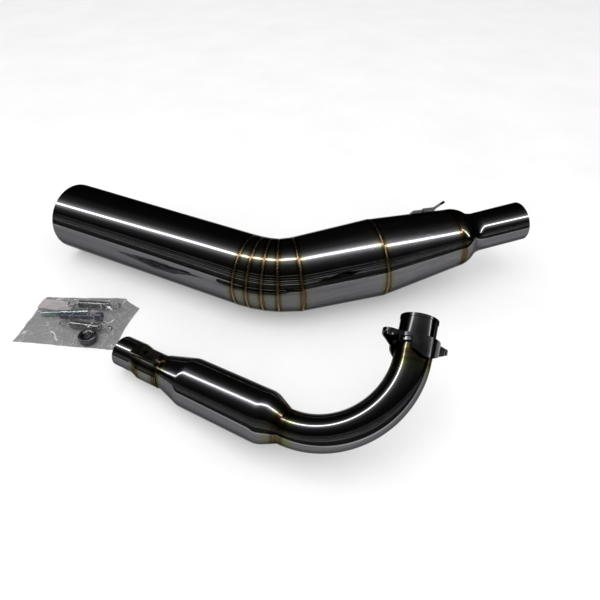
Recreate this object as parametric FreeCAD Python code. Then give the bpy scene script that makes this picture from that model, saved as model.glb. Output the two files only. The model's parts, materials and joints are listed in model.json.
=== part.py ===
"""Two-piece stainless racing exhaust kit for an underbone motorcycle, laid out on a floor.

The kit is a muffler (open tail tube, pie-cut elbow, body cone, inlet cone, swaged reducer and
slip inlet), a header (outlet tube, neck, resonator, bend, port stub and loose two-bolt flange)
and a flat poly bag of fittings.  Millimetres, +Z up, floor at Z = 0, X to the right along the
muffler, Y towards the muffler side.  The origin is the centre of the kit's footprint.
"""
import FreeCAD, Part
import math
import os

from FreeCAD import Placement, Rotation, Vector

# ---------------------------------------------------------------- driving dimensions: layout
TAIL_END = (-246.5, 134.4)       # centre of the open tail mouth, on the floor plan
TAIL_HEADING = -25.15            # direction of the tail tube in plan, degrees from +X
HEADER_END = (-145.8, -58.4, 17.3)   # centre of the outlet mouth of the header
HEADER_HEADING = -29.05          # direction of the resonator axis in plan
HEADER_PITCH = 3.8               # the resonator axis climbs towards the bend
HEADER_ROLL = 26.9               # the bend plane is rolled up from the floor
BAG_CENTRE = (-212.3, -4.8)      # middle of the poly bag
BAG_TURN = -7.0

# ---------------------------------------------------------------- driving dimensions: muffler
MUFFLER_WALL = 1.2
TAIL_RADIUS = 38.1
TAIL_LENGTH = 236.5
PIE_LENGTHS = (11.2, 11.2, 11.2, 17.5)       # centre-line length of each elbow segment
PIE_TURNS = (4.9, 6.4, 7.3, 10.0, 12.5)      # turn at each of the five elbow welds
BODY_START_RADIUS = 38.8
BODY_LENGTH = 85.5
BODY_RADIUS = 41.8               # largest radius, at the body-to-cone weld
BODY_GAP = 0.1                   # under that weld, above the floor
CONE_TURN = -1.1                 # small sideways turn at that weld
CONE_RISE = 3.7                  # small upward turn at that weld
CONE_LENGTH = 88.5
CONE_END_RADIUS = 31.8
REDUCER_LENGTH = 31.0
INLET_RADIUS = 20.9
INLET_LENGTH = 51.0
INLET_WALL = 1.5
BEAD_WIDTH = 2.6
BEAD_HEIGHT = 0.4
BEAD_ROOT = 0.22                 # between a muffler bead and the sheet under it
BEAD_CUT = 0.3                   # the muffler's beads stop this far above the floor
CORE_WALL = 1.0
CORE_BACK = 58.0                 # how far the core runs behind the body-to-cone weld
CORE_HOLE = 3.0
CORE_ROWS = 12
CORE_HOLES_PER_RING = 8
RING_THICKNESS = 1.5
GASKET_LENGTH = 24.0
SLIP_CLEARANCE = 0.1

# ---------------------------------------------------------------- driving dimensions: header
HEADER_WALL = 1.2
OUTLET_RADIUS = 14.4
OUTLET_LENGTH = 21.0
OUTLET_OFFSET = 0.5              # the outlet sits towards the inside of the bend
FLARE_LENGTH = 9.0
NECK_RADIUS = 14.8
NECK_OFFSET = -1.7               # the neck sits towards the outside of the bend
NECK_LENGTH = 23.0
FRONT_TAPER = 28.0
CHAMBER_RADIUS = 22.4
CHAMBER_LENGTH = 79.5
REAR_TAPER = 16.0
SHOULDER_RADIUS = 18.0           # where each taper runs into the chamber
BEND_TUBE_RADIUS = 14.8
BEND_RADIUS = 75.2
BEND_ANGLE = 99.6
STUB_RADIUS = 14.9
STUB_LENGTH = 32.0
LIP_LENGTH = 2.5
LIP_HEIGHT = 0.5

# ---------------------------------------------------------------- driving dimensions: flange
FLANGE_STATION = 11.5            # plate's rear face, measured along the stub from the bend
FLANGE_THICKNESS = 3.0
FLANGE_DISC_RADIUS = 19.2
FLANGE_HOLE_PITCH = 48.0
FLANGE_HOLE_RADIUS = 4.25
EAR_RADIUS = 6.5
EAR_ROLL = 41.0                  # ears' line, turned about the stub from the bend plane
SKIRT_DEPTH = 13.0
SKIRT_WALL = 1.3
RING_HUB_RADIUS = 17.0
RING_LIP_RADIUS = 17.7
RING_LIP_LENGTH = 3.0
RUNNING_CLEARANCE = 0.06

# ---------------------------------------------------------------- driving dimensions: brackets
STRAP_WIDTH = 22.0
STRAP_THICKNESS = 2.5
STRAP_FOOT = 12.0
STRAP_TAB = 19.0
STRAP_LIFT = 24.0                # how far the tab bends up from the cone's side, degrees
STRAP_STATION = 63.5             # from the body-to-cone weld to the strap's foot
STRAP_AROUND = 41.0              # up from the horizontal, on the side away from the header
PAD_LENGTH = 9.5
PAD_THICKNESS = 1.6
HANGER_HOLE_RADIUS = 4.25
HOOK_WIRE = 1.5                  # radius of the wire loop that a spring hooks on
HOOK_RADIUS = 5.0
HOOK_STATION = 20.0              # from the inlet mouth
HOOK_ANGLES = (-10.0, -60.0)     # up from the horizontal, on the side away from the header
SADDLE_LENGTH = 28.0
SADDLE_WIDTH = 11.0
SADDLE_THICKNESS = 2.0
SADDLE_HEIGHT = 4.5
SADDLE_STATION = 22.5           # from the outlet mouth, clear of the slip joint

# ---------------------------------------------------------------- driving dimensions: fittings
BAG_LENGTH = 107.0
BAG_WIDTH = 68.0
BAG_HEIGHT = 13.0
FILM = 0.6
SPRING_RADIUS = 4.2
SPRING_WIRE = 0.75
SPRING_SHANK = 4.0
SPRING_EYE = 3.6                 # centre-line radius of the hook's round part
BOLT_RADIUS = 3.0
BOLT_LENGTH = 38.0
BOLT_HEAD_RADIUS = 5.0
BOLT_SOCKET = 5.0                # across the flats of the hexagon socket
STUD_RADIUS = 3.0
STUD_LENGTH = 50.0
COLLAR_RADIUS = 9.0
COLLAR_HEIGHT = 7.5
COLLAR_BORE = 4.2
CARD = (36.0, 13.0, 1.6)


# ---------------------------------------------------------------- geometry helpers
def direction(heading, rise=0.0):
    """Unit vector from a plan heading and a rise, both in degrees."""
    h, r = math.radians(heading), math.radians(rise)
    return Vector(math.cos(h) * math.cos(r), math.sin(h) * math.cos(r), math.sin(r))


def cone_solid(start, end, r0, r1, extra=0.0):
    """Filled round solid from start to end, carried on by extra at both ends."""
    run = end - start
    axis = Vector(run).normalize()
    slope = (r1 - r0) / run.Length
    base = start - axis * extra
    ra, rb = r0 - slope * extra, r1 + slope * extra
    length = run.Length + 2 * extra
    if abs(ra - rb) < 1e-6:
        return Part.makeCylinder(ra, length, base, axis)
    return Part.makeCone(ra, rb, length, base, axis)


def half_space(point, normal, size=400.0):
    """Large box that fills the side of a plane that its normal points to."""
    box = Part.makeBox(size, size, size, Vector(-size / 2, -size / 2, 0))
    box.Placement = Placement(point, Rotation(Vector(0, 0, 1), normal))
    return box


def ring(inner, outer, length, base, axis):
    """Plain ring or tube."""
    body = Part.makeCylinder(outer, length, base, axis)
    return body.cut(Part.makeCylinder(inner, length, base, axis))


def revolved(points, base, axis):
    """Solid of revolution from (station, radius) points along an axis."""
    frame = Placement(base, Rotation(Vector(1, 0, 0), axis))
    wire = Part.makePolygon([Vector(s, r, 0) for s, r in points + points[:1]])
    solid = Part.Face(wire).revolve(Vector(0, 0, 0), Vector(1, 0, 0), 360)
    solid.Placement = frame
    return solid


def swage_edges(length, r0, r1, offset):
    """Two equal tangent arcs, an S from r0 down to r1, moved in by offset."""
    turn = 2 * math.atan((r0 - r1) / length)
    arc = length / 2 / math.sin(turn)
    edges = []
    halves = ((Vector(0, r0 - arc, 0), arc - offset, 90), (Vector(length, r1 + arc, 0), arc + offset, 270))
    for centre, radius, first in halves:
        angles = [math.radians(first) - turn * share for share in (0.0, 0.5, 1.0)]
        points = [centre + Vector(math.cos(a), math.sin(a), 0) * radius for a in angles]
        edges.append(Part.Arc(*points).toShape())
    return edges


def swage(length, r0, r1, wall, base, axis):
    """Swaged reducer, a revolved S-shaped wall."""
    outer = swage_edges(length, r0, r1, 0.0)
    inner = swage_edges(length, r0, r1, wall)
    close0 = Part.makeLine(Vector(0, r0, 0), Vector(0, r0 - wall, 0))
    close1 = Part.makeLine(Vector(length, r1, 0), Vector(length, r1 - wall, 0))
    wire = Part.Wire(Part.__sortEdges__(outer + [close1] + inner + [close0]))
    solid = Part.Face(wire).revolve(Vector(0, 0, 0), Vector(1, 0, 0), 360)
    solid.Placement = Placement(base, Rotation(Vector(1, 0, 0), axis))
    return solid


def place(shape, frame):
    """Copy of a shape moved by a frame."""
    moved = shape.copy()
    moved.Placement = frame.multiply(moved.Placement)
    return moved


# ---------------------------------------------------------------- muffler path
def muffler_path():
    """Centre-line stations as (point, outer radius), from the tail mouth to the inlet mouth."""
    heading = TAIL_HEADING
    point = Vector(TAIL_END[0], TAIL_END[1], TAIL_RADIUS)
    stations = [(point, TAIL_RADIUS)]
    point = point + direction(heading) * TAIL_LENGTH
    stations.append((point, TAIL_RADIUS))
    for length, turn in zip(PIE_LENGTHS, PIE_TURNS):
        heading += turn
        point = point + direction(heading) * length
        stations.append((point, TAIL_RADIUS))
    stations[-1] = (point + Vector(0, 0, BODY_START_RADIUS - TAIL_RADIUS), BODY_START_RADIUS)
    heading += PIE_TURNS[-1]
    rise = math.degrees(math.asin((BODY_RADIUS + BODY_GAP - BODY_START_RADIUS) / BODY_LENGTH))
    point = stations[-1][0] + direction(heading, rise) * BODY_LENGTH
    stations.append((point, BODY_RADIUS))
    heading += CONE_TURN
    rise += CONE_RISE
    axis = direction(heading, rise)
    for length, radius in ((CONE_LENGTH, CONE_END_RADIUS), (REDUCER_LENGTH, INLET_RADIUS),
                           (INLET_LENGTH, INLET_RADIUS)):
        point = point + axis * length
        stations.append((point, radius))
    return stations, axis


STATIONS, INLET_AXIS = muffler_path()
POINTS = [p for p, r in STATIONS]
RADII = [r for p, r in STATIONS]
BODY_WELD, CONE_END, REDUCER_END, INLET_MOUTH = POINTS[6:10]


def joint_normal(i):
    """Normal of the weld plane at a station, halfway between the two runs."""
    before = (POINTS[i] - POINTS[i - 1]).normalize()
    if i == 0:
        return (POINTS[1] - POINTS[0]).normalize()
    if i == len(POINTS) - 1:
        return before
    return (before + (POINTS[i + 1] - POINTS[i]).normalize()).normalize()


def run_solid(i, shrink=0.0, start_cut=True, end_cut=True, grow=12.0):
    """Filled run from station i to i + 1, mitred at both ends."""
    solid = cone_solid(POINTS[i], POINTS[i + 1], RADII[i] - shrink, RADII[i + 1] - shrink, grow)
    if start_cut:
        solid = solid.common(half_space(POINTS[i], joint_normal(i)))
    if end_cut:
        solid = solid.common(half_space(POINTS[i + 1], joint_normal(i + 1) * -1))
    return solid


def run_shell(i, wall=MUFFLER_WALL):
    """Sheet-metal run from station i to i + 1."""
    return run_solid(i).cut(run_solid(i, wall, False, False, 20.0))


def weld_bead(i):
    """Weld band around the muffler at station i, dressed flush where the shell meets the floor."""
    normal = joint_normal(i)
    tilt = normal.getAngle(POINTS[i] - POINTS[i - 1])
    inner = RADII[i] / math.cos(tilt) + BEAD_WIDTH / 2 * math.tan(tilt) + BEAD_ROOT
    bead = ring(inner, inner + BEAD_HEIGHT, BEAD_WIDTH, POINTS[i] - normal * BEAD_WIDTH / 2, normal)
    return bead.common(half_space(Vector(0, 0, BEAD_CUT), Vector(0, 0, 1)))


# ---------------------------------------------------------------- muffler pieces
def muffler_shells():
    pieces = {"tail_tube": run_shell(0)}
    for i in range(len(PIE_LENGTHS)):
        pieces["elbow_segment_%d" % (i + 1)] = run_shell(i + 1)
    pieces["body_cone"] = run_shell(5)
    pieces["inlet_cone"] = run_shell(6)
    pieces["inlet_reducer"] = swage(REDUCER_LENGTH, CONE_END_RADIUS, INLET_RADIUS, INLET_WALL,
                                    CONE_END, INLET_AXIS)
    pieces["inlet_tube"] = ring(INLET_RADIUS - INLET_WALL, INLET_RADIUS, INLET_LENGTH,
                                REDUCER_END, INLET_AXIS)
    pieces["muffler_weld_beads"] = Part.makeCompound([weld_bead(i) for i in range(1, 8)])
    return pieces


def along_inlet(station):
    """Point on the inlet axis, measured forward from the body-to-cone weld."""
    return BODY_WELD + INLET_AXIS * station


def perforated_core():
    """Straight-through perforated tube that carries on from the inlet tube."""
    radius = INLET_RADIUS - INLET_WALL
    length = CORE_BACK + CONE_LENGTH + REDUCER_LENGTH + 6.0
    tube = ring(radius - CORE_WALL, radius, length, along_inlet(-CORE_BACK), INLET_AXIS)
    first, pitch = 10.0, 9.5
    drills = []
    for row in range(CORE_ROWS):
        for k in range(CORE_HOLES_PER_RING // 2):
            angle = 180.0 * (k + 0.5 * (row % 2)) / (CORE_HOLES_PER_RING // 2)
            spot = along_inlet(-CORE_BACK + first + pitch * row)
            side = Rotation(INLET_AXIS, angle).multVec(Vector(0, 0, 1).cross(INLET_AXIS).normalize())
            drills.append(Part.makeCylinder(CORE_HOLE, 2 * radius + 2, spot - side * (radius + 1), side))
    return tube.cut(Part.makeCompound(drills))


def support_ring(station, run):
    """Thin disc between the core and the sheet around it."""
    disc = Part.makeCylinder(60.0, RING_THICKNESS, along_inlet(station), INLET_AXIS)
    disc = disc.common(run_solid(run, MUFFLER_WALL, False, False, 20.0))
    hole = Part.makeCylinder(INLET_RADIUS - INLET_WALL, 10.0, along_inlet(station - 4), INLET_AXIS)
    return disc.cut(hole)


def muffler_inside():
    core = INLET_RADIUS - INLET_WALL
    rear, front = -CORE_BACK + 4.0, CONE_LENGTH - 10.0
    wool_rear, wool_front = rear + RING_THICKNESS, front
    wool = revolved([(wool_rear, core), (wool_rear, 31.0), (0.0, 35.5), (wool_front, 28.5),
                     (wool_front, core)], BODY_WELD, INLET_AXIS)
    gasket_inner = OUTLET_RADIUS + SLIP_CLEARANCE
    gasket = ring(gasket_inner, core, GASKET_LENGTH, INLET_MOUTH - INLET_AXIS * GASKET_LENGTH,
                  INLET_AXIS)
    return {"perforated_core": perforated_core(), "packing_wool": wool,
            "core_ring_rear": support_ring(rear, 5), "core_ring_front": support_ring(front, 6),
            "slip_gasket": gasket}


def cone_side_frame(station, around, height=0.0):
    """Frame on the inlet cone: X along the cone's side, Z straight out of it."""
    level = Vector(0, 0, 1).cross(INLET_AXIS).normalize()
    outward = Rotation(INLET_AXIS, around).multVec(level)
    slope = math.atan((BODY_RADIUS - CONE_END_RADIUS) / CONE_LENGTH)
    along = INLET_AXIS * math.cos(slope) - outward * math.sin(slope)
    normal = outward * math.cos(slope) + INLET_AXIS * math.sin(slope)
    radius = BODY_RADIUS + (CONE_END_RADIUS - BODY_RADIUS) * station / CONE_LENGTH
    origin = along_inlet(station) + outward * radius + normal * height
    across = normal.cross(along)
    return Placement(origin, Rotation(along, across, normal, "XZY"))


def hanger():
    """Doubler pad and bent strap, both welded to the far side of the inlet cone."""
    # The flat undersides are sunk a little and trimmed back to the cone, so they meet it all over.
    sink = 2.2
    cone = run_solid(6)
    pad = Part.makeBox(PAD_LENGTH, STRAP_WIDTH - 2, PAD_THICKNESS + sink,
                       Vector(0, -(STRAP_WIDTH - 2) / 2, -sink))
    pad = place(pad, cone_side_frame(STRAP_STATION - PAD_LENGTH - 1.5, STRAP_AROUND))
    foot = Part.makeBox(STRAP_FOOT, STRAP_WIDTH, STRAP_THICKNESS + sink,
                        Vector(0, -STRAP_WIDTH / 2, -sink))
    tab_length = STRAP_TAB
    tab = Part.makeBox(tab_length - STRAP_WIDTH / 2, STRAP_WIDTH, STRAP_THICKNESS,
                       Vector(0, -STRAP_WIDTH / 2, 0))
    tip = Part.makeCylinder(STRAP_WIDTH / 2, STRAP_THICKNESS, Vector(tab_length - STRAP_WIDTH / 2, 0, 0))
    tab = tab.fuse(tip)
    hole_at = Vector(tab_length - STRAP_WIDTH / 2, 0, 0)
    tab = tab.cut(Part.makeCylinder(HANGER_HOLE_RADIUS, 20, hole_at - Vector(0, 0, 5)))
    tilt = Placement(Vector(STRAP_FOOT, 0, 0), Rotation(Vector(0, 1, 0), -STRAP_LIFT))
    knee = Part.makeCylinder(STRAP_THICKNESS, STRAP_WIDTH, Vector(STRAP_FOOT, -STRAP_WIDTH / 2, 0),
                             Vector(0, 1, 0))
    knee = knee.common(Part.makeBox(2 * STRAP_THICKNESS, STRAP_WIDTH, STRAP_THICKNESS,
                                    Vector(STRAP_FOOT - STRAP_THICKNESS * 1.2, -STRAP_WIDTH / 2, 0)))
    strap = foot.fuse([place(tab, tilt), knee]).removeSplitter()
    side = cone_side_frame(STRAP_STATION, STRAP_AROUND)
    strap = place(strap, side)
    hole_frame = side.multiply(tilt)
    return {"hanger_pad": pad.cut(cone), "hanger_strap": strap.cut(cone)}, \
        (hole_frame.multVec(hole_at), hole_frame.Rotation.multVec(Vector(0, 0, 1)))


def wire_loop(radius, wire, centre, along, outward, sweep=180.0):
    """Half-round wire loop standing on a tube, its feet along the tube's axis."""
    side = along.cross(outward)
    foot = centre - along * radius
    circle = Part.Wire(Part.makeCircle(wire, foot, outward))
    return Part.Face(circle).revolve(centre, side * -1, sweep)


def muffler_hooks():
    """Two wire loops for the retaining springs, low on the far side of the inlet tube."""
    level = Vector(0, 0, 1).cross(INLET_AXIS).normalize()
    tube = Part.makeCylinder(INLET_RADIUS, INLET_LENGTH, REDUCER_END, INLET_AXIS)
    loops = []
    for around in HOOK_ANGLES:
        outward = Rotation(INLET_AXIS, around).multVec(level)
        centre = INLET_MOUTH - INLET_AXIS * HOOK_STATION + outward * (INLET_RADIUS - 0.3)
        loops.append(wire_loop(HOOK_RADIUS, HOOK_WIRE, centre, INLET_AXIS, outward).cut(tube))
    return Part.makeCompound(loops)


# ---------------------------------------------------------------- header pieces
HEADER_FRAME = Placement(Vector(*HEADER_END),
                         Rotation(Vector(0, 0, 1), HEADER_HEADING)
                         .multiply(Rotation(Vector(0, 1, 0), -HEADER_PITCH))
                         .multiply(Rotation(Vector(1, 0, 0), HEADER_ROLL)))
FLARE_START = OUTLET_LENGTH
NECK_START = FLARE_START + FLARE_LENGTH
TAPER_START = NECK_START + NECK_LENGTH
CHAMBER_START = TAPER_START + FRONT_TAPER
CHAMBER_END = CHAMBER_START + CHAMBER_LENGTH
BEND_START = CHAMBER_END + REAR_TAPER
BEND_CENTRE = Vector(BEND_START, BEND_RADIUS, 0)
BEND_TURN = math.radians(BEND_ANGLE)
STUB_AXIS = Vector(math.cos(BEND_TURN), math.sin(BEND_TURN), 0)
STUB_START = BEND_CENTRE + Vector(math.sin(BEND_TURN), -math.cos(BEND_TURN), 0) * BEND_RADIUS
ALONG = Vector(1, 0, 0)


def flare(shrink=0.0):
    """Short piece that joins two round sections whose centres don't line up."""
    ends = []
    for x, offset, radius in ((FLARE_START, OUTLET_OFFSET, OUTLET_RADIUS),
                              (NECK_START, NECK_OFFSET, NECK_RADIUS)):
        ends.append(Part.Wire(Part.makeCircle(radius - shrink, Vector(x, offset, 0), ALONG)))
    return Part.makeLoft(ends, True, True)


def bend(radius):
    """Filled bend from the resonator to the stub."""
    disc = Part.Face(Part.Wire(Part.makeCircle(radius, Vector(BEND_START, 0, 0), ALONG)))
    return disc.revolve(BEND_CENTRE, Vector(0, 0, 1), BEND_ANGLE)


def is_circle(edge, radius):
    """Whether an edge is a circle of that radius."""
    return hasattr(edge.Curve, "Radius") and abs(edge.Curve.Radius - radius) < 1e-4


def resonator_stations():
    """Outline of the resonator as (station, radius)."""
    return [(TAPER_START, NECK_RADIUS), (CHAMBER_START, CHAMBER_RADIUS),
            (CHAMBER_END, CHAMBER_RADIUS), (BEND_START, BEND_TUBE_RADIUS)]


def resonator():
    """Spun resonator: front taper, chamber and rear taper in one shell."""
    stations = resonator_stations()
    inside = [(s, r - HEADER_WALL) for s, r in stations[::-1]]
    shell = revolved(stations + inside, Vector(0, 0, 0), ALONG)
    for drop in (0.0, HEADER_WALL):
        shoulders = [edge for edge in shell.Edges if is_circle(edge, CHAMBER_RADIUS - drop)]
        shell = shell.makeFillet(SHOULDER_RADIUS - drop, shoulders)
    return shell


def bead_ring(centre, radius, axis, tubes):
    """Weld band around a header joint, cut back to the tubes that it joins."""
    disc = Part.makeCylinder(radius + BEAD_HEIGHT, BEAD_WIDTH, centre - axis * BEAD_WIDTH / 2, axis)
    return disc.cut(Part.makeCompound(tubes))


def header_shells():
    outlet = ring(OUTLET_RADIUS - HEADER_WALL, OUTLET_RADIUS, OUTLET_LENGTH,
                  Vector(0, OUTLET_OFFSET, 0), ALONG)
    neck = ring(NECK_RADIUS - HEADER_WALL, NECK_RADIUS, NECK_LENGTH,
                Vector(NECK_START, NECK_OFFSET, 0), ALONG)
    stub = ring(STUB_RADIUS - HEADER_WALL, STUB_RADIUS, STUB_LENGTH, STUB_START, STUB_AXIS)
    lip = ring(STUB_RADIUS, STUB_RADIUS + LIP_HEIGHT, LIP_LENGTH,
               STUB_START + STUB_AXIS * (STUB_LENGTH - LIP_LENGTH), STUB_AXIS)
    return {"outlet_tube": outlet, "outlet_flare": flare().cut(flare(HEADER_WALL)),
            "neck_tube": neck, "resonator": resonator(),
            "bend_tube": bend(BEND_TUBE_RADIUS).cut(bend(BEND_TUBE_RADIUS - HEADER_WALL)),
            "port_stub": stub, "port_lip": lip}


def spring_saddle():
    """Bridge on the top of the neck that the retaining springs hook under."""
    up = Rotation(ALONG, -HEADER_ROLL).multVec(Vector(0, 0, 1))
    across = up.cross(ALONG)
    frame = Placement(Vector(SADDLE_STATION, NECK_OFFSET, 0), Rotation(ALONG, across, up, "XZY"))
    base = NECK_RADIUS - 4.0
    top = NECK_RADIUS + SADDLE_HEIGHT
    block = Part.makeBox(SADDLE_LENGTH, SADDLE_WIDTH, top - base, Vector(0, -SADDLE_WIDTH / 2, base))
    gap = Part.makeBox(SADDLE_LENGTH - 2 * SADDLE_THICKNESS, SADDLE_WIDTH, top - base - SADDLE_THICKNESS,
                       Vector(SADDLE_THICKNESS, -SADDLE_WIDTH / 2, base))
    slot = Part.makeCylinder(2.2, 20, Vector(SADDLE_LENGTH / 2, 0, base))
    saddle = place(block.cut(gap).cut(slot), frame)
    tubes = [Part.makeCylinder(OUTLET_RADIUS, OUTLET_LENGTH, Vector(0, OUTLET_OFFSET, 0), ALONG),
             flare(), Part.makeCylinder(NECK_RADIUS, NECK_LENGTH, Vector(NECK_START, NECK_OFFSET, 0), ALONG)]
    return saddle.cut(Part.makeCompound(tubes))


def flange_outline(shrink, depth, base_z):
    """Two-eared plate shape: centre disc and two tapering ears, extruded."""
    ear_at = FLANGE_HOLE_PITCH / 2
    disc = FLANGE_DISC_RADIUS - shrink
    tip = EAR_RADIUS - shrink
    body = Part.makeCylinder(disc, depth, Vector(0, 0, base_z))
    for sign in (1, -1):
        end = Part.makeCylinder(tip, depth, Vector(sign * ear_at, 0, base_z))
        neck = [Vector(0, -disc * 0.72, base_z), Vector(sign * ear_at, -tip, base_z),
                Vector(sign * ear_at, tip, base_z), Vector(0, disc * 0.72, base_z)]
        web = Part.Face(Part.makePolygon(neck + neck[:1])).extrude(Vector(0, 0, depth))
        body = body.fuse([end, web])
    return body.removeSplitter()


def flange_skirt():
    """Folded edge behind the plate: round the middle, and down one side of each ear."""
    reach = FLANGE_HOLE_PITCH / 2 + EAR_RADIUS
    wall = flange_outline(0.0, SKIRT_DEPTH, -SKIRT_DEPTH)
    wall = wall.cut(flange_outline(SKIRT_WALL, SKIRT_DEPTH, -SKIRT_DEPTH))
    for sign in (1, -1):
        # The fold gets shallower towards each ear's tip.
        slope = math.atan2(SKIRT_DEPTH, reach - 4.0)
        normal = Vector(sign * math.sin(slope), 0, -math.cos(slope))
        wall = wall.cut(half_space(Vector(sign * reach, 0, 0), normal))
        # The other side of each ear stays open for a spanner.
        open_side = Part.makeBox(60, 60, 60, Vector(13.0, 0.0, -60))
        if sign < 0:
            open_side.rotate(Vector(0, 0, 0), Vector(0, 0, 1), 180)
        wall = wall.cut(open_side)
    return wall


def flange_pieces():
    """Ring that slides on the stub, and the pressed plate that turns on the ring."""
    plate = flange_outline(0.0, FLANGE_THICKNESS, 0.0).fuse(flange_skirt()).removeSplitter()
    bore = RING_HUB_RADIUS + RUNNING_CLEARANCE
    plate = plate.cut(Part.makeCylinder(bore, FLANGE_THICKNESS + 2, Vector(0, 0, -1)))
    for sign in (1, -1):
        spot = Vector(sign * FLANGE_HOLE_PITCH / 2, 0, -SKIRT_DEPTH)
        plate = plate.cut(Part.makeCylinder(FLANGE_HOLE_RADIUS, 40, spot))
    hub = Part.makeCylinder(RING_HUB_RADIUS, FLANGE_THICKNESS + RUNNING_CLEARANCE,
                            Vector(0, 0, -RUNNING_CLEARANCE))
    back = Part.makeCylinder(RING_LIP_RADIUS, RING_LIP_LENGTH,
                             Vector(0, 0, -RING_LIP_LENGTH - RUNNING_CLEARANCE))
    bush = hub.fuse(back).removeSplitter()
    bush = bush.cut(Part.makeCylinder(STUB_RADIUS + RUNNING_CLEARANCE, 20, Vector(0, 0, -10)))
    origin = STUB_START + STUB_AXIS * FLANGE_STATION
    ears = Rotation(STUB_AXIS, EAR_ROLL).multVec(Vector(0, 0, 1).cross(STUB_AXIS))
    frame = Placement(origin, Rotation(ears, STUB_AXIS.cross(ears), STUB_AXIS, "ZXY"))
    return {"flange_ring": place(bush, frame), "flange_plate": place(plate, frame)}, frame


def header_pieces():
    pieces = header_shells()
    pieces["spring_saddle"] = spring_saddle()
    neck = Part.makeCylinder(NECK_RADIUS, NECK_LENGTH, Vector(NECK_START, NECK_OFFSET, 0), ALONG)
    profile = [(TAPER_START, 0.0)] + resonator_stations() + [(BEND_START, 0.0)]
    chamber = revolved(profile, Vector(0, 0, 0), ALONG)
    stub = Part.makeCylinder(STUB_RADIUS, STUB_LENGTH, STUB_START, STUB_AXIS)
    curve = bend(BEND_TUBE_RADIUS)
    step = abs(NECK_OFFSET) / 2
    beads = [bead_ring(Vector(TAPER_START, NECK_OFFSET / 2, 0), NECK_RADIUS + step, ALONG,
                       [neck, chamber]),
             bead_ring(Vector(BEND_START, 0, 0), BEND_TUBE_RADIUS + BEAD_HEIGHT, ALONG,
                       [chamber, curve]),
             bead_ring(STUB_START, STUB_RADIUS, STUB_AXIS, [curve, stub])]
    pieces["header_weld_beads"] = Part.makeCompound(beads)
    return pieces


# ---------------------------------------------------------------- fittings in the bag
def in_bag(x, y, turn, z=2 * FILM):
    """Frame of a fitting, measured from the bag's centre and lying inside its lower film."""
    return Placement(Vector(BAG_CENTRE[0] + x, BAG_CENTRE[1] + y, z), Rotation(Vector(0, 0, 1), turn))


def spring(length):
    """Close-wound extension spring as its outer shape, with a hook at each end."""
    along = Vector(1, 0, 0)
    body = Part.makeCylinder(SPRING_RADIUS, length, Vector(-length / 2, 0, SPRING_RADIUS), along)
    hooks = []
    for sign in (1, -1):
        end = Vector(sign * length / 2, 0, SPRING_RADIUS)
        hooks.append(Part.makeCylinder(SPRING_WIRE, SPRING_SHANK, end, along * sign))
        start = end + along * sign * SPRING_SHANK
        middle = start + along * sign * SPRING_EYE
        disc = Part.Face(Part.Wire(Part.makeCircle(SPRING_WIRE, start, Vector(0, 1, 0))))
        hooks.append(disc.revolve(middle, Vector(0, 0, 1), 280))
    return body.fuse(hooks).removeSplitter()


def hex_prism(flats, height):
    """Upright hexagonal prism from its width across flats."""
    corner = flats / math.sqrt(3)
    points = [Vector(corner * math.cos(math.radians(60 * k)), corner * math.sin(math.radians(60 * k)), 0)
              for k in range(7)]
    return Part.Face(Part.makePolygon(points)).extrude(Vector(0, 0, height))


def socket_bolt():
    """Socket-head bolt for the hanger strap, lying down with its head to +X."""
    shank = Part.makeCylinder(BOLT_RADIUS, BOLT_LENGTH)
    head = Part.makeCylinder(BOLT_HEAD_RADIUS, 2 * BOLT_RADIUS, Vector(0, 0, BOLT_LENGTH))
    socket = hex_prism(BOLT_SOCKET, 2 * BOLT_RADIUS)
    socket.translate(Vector(0, 0, BOLT_LENGTH + BOLT_RADIUS))
    bolt = shank.fuse(head).removeSplitter().cut(socket)
    lying = Placement(Vector(-BOLT_LENGTH / 2, 0, BOLT_HEAD_RADIUS), Rotation(Vector(0, 1, 0), 90))
    return place(bolt, lying)


def spacer_collar():
    """Round collar, lying flat."""
    return ring(COLLAR_BORE, COLLAR_RADIUS, COLLAR_HEIGHT, Vector(0, 0, 0), Vector(0, 0, 1))


def pillow(grow):
    """Flat-bottomed pillow shape of the poly bag, made bigger or smaller by grow."""
    half_l, half_w = BAG_LENGTH / 2 + grow, BAG_WIDTH / 2 + grow
    levels = ((0.0 - grow, 1.0), (BAG_HEIGHT * 0.45, 1.0), (BAG_HEIGHT + grow, 0.9))
    wires = []
    for z, share in levels:
        x, y = half_l * share, half_w * share
        corners = [Vector(-x, -y, z), Vector(x, -y, z), Vector(x, y, z), Vector(-x, y, z)]
        wires.append(Part.makePolygon(corners + corners[:1]))
    return Part.makeLoft(wires, True, True)


def fittings():
    bag = pillow(0.0).cut(pillow(-FILM))
    card = Part.makeBox(*CARD, Vector(-CARD[0] / 2, -CARD[1] / 2, 0))
    stud = Part.makeCylinder(STUD_RADIUS, STUD_LENGTH, Vector(-STUD_LENGTH / 2, 0, STUD_RADIUS),
                             Vector(1, 0, 0))
    return {
        "poly_bag": place(bag, in_bag(0, 0, BAG_TURN, 0.0)),
        "spring_far": place(spring(34.0), in_bag(11.5, 20.5, -4.5)),
        "spring_near": place(spring(34.0), in_bag(12.5, -10.5, -9.5)),
        "spare_stud": place(stud, in_bag(-16.0, 9.6, 3.0)),
        "hanger_bolt": place(socket_bolt(), in_bag(1.0, 2.2, -2.0)),
        "spacer_collar": place(spacer_collar(), in_bag(19.5, -25.4, 0.0)),
        "card": place(card, in_bag(-31.0, 22.5, -10.0)),
    }


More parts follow.
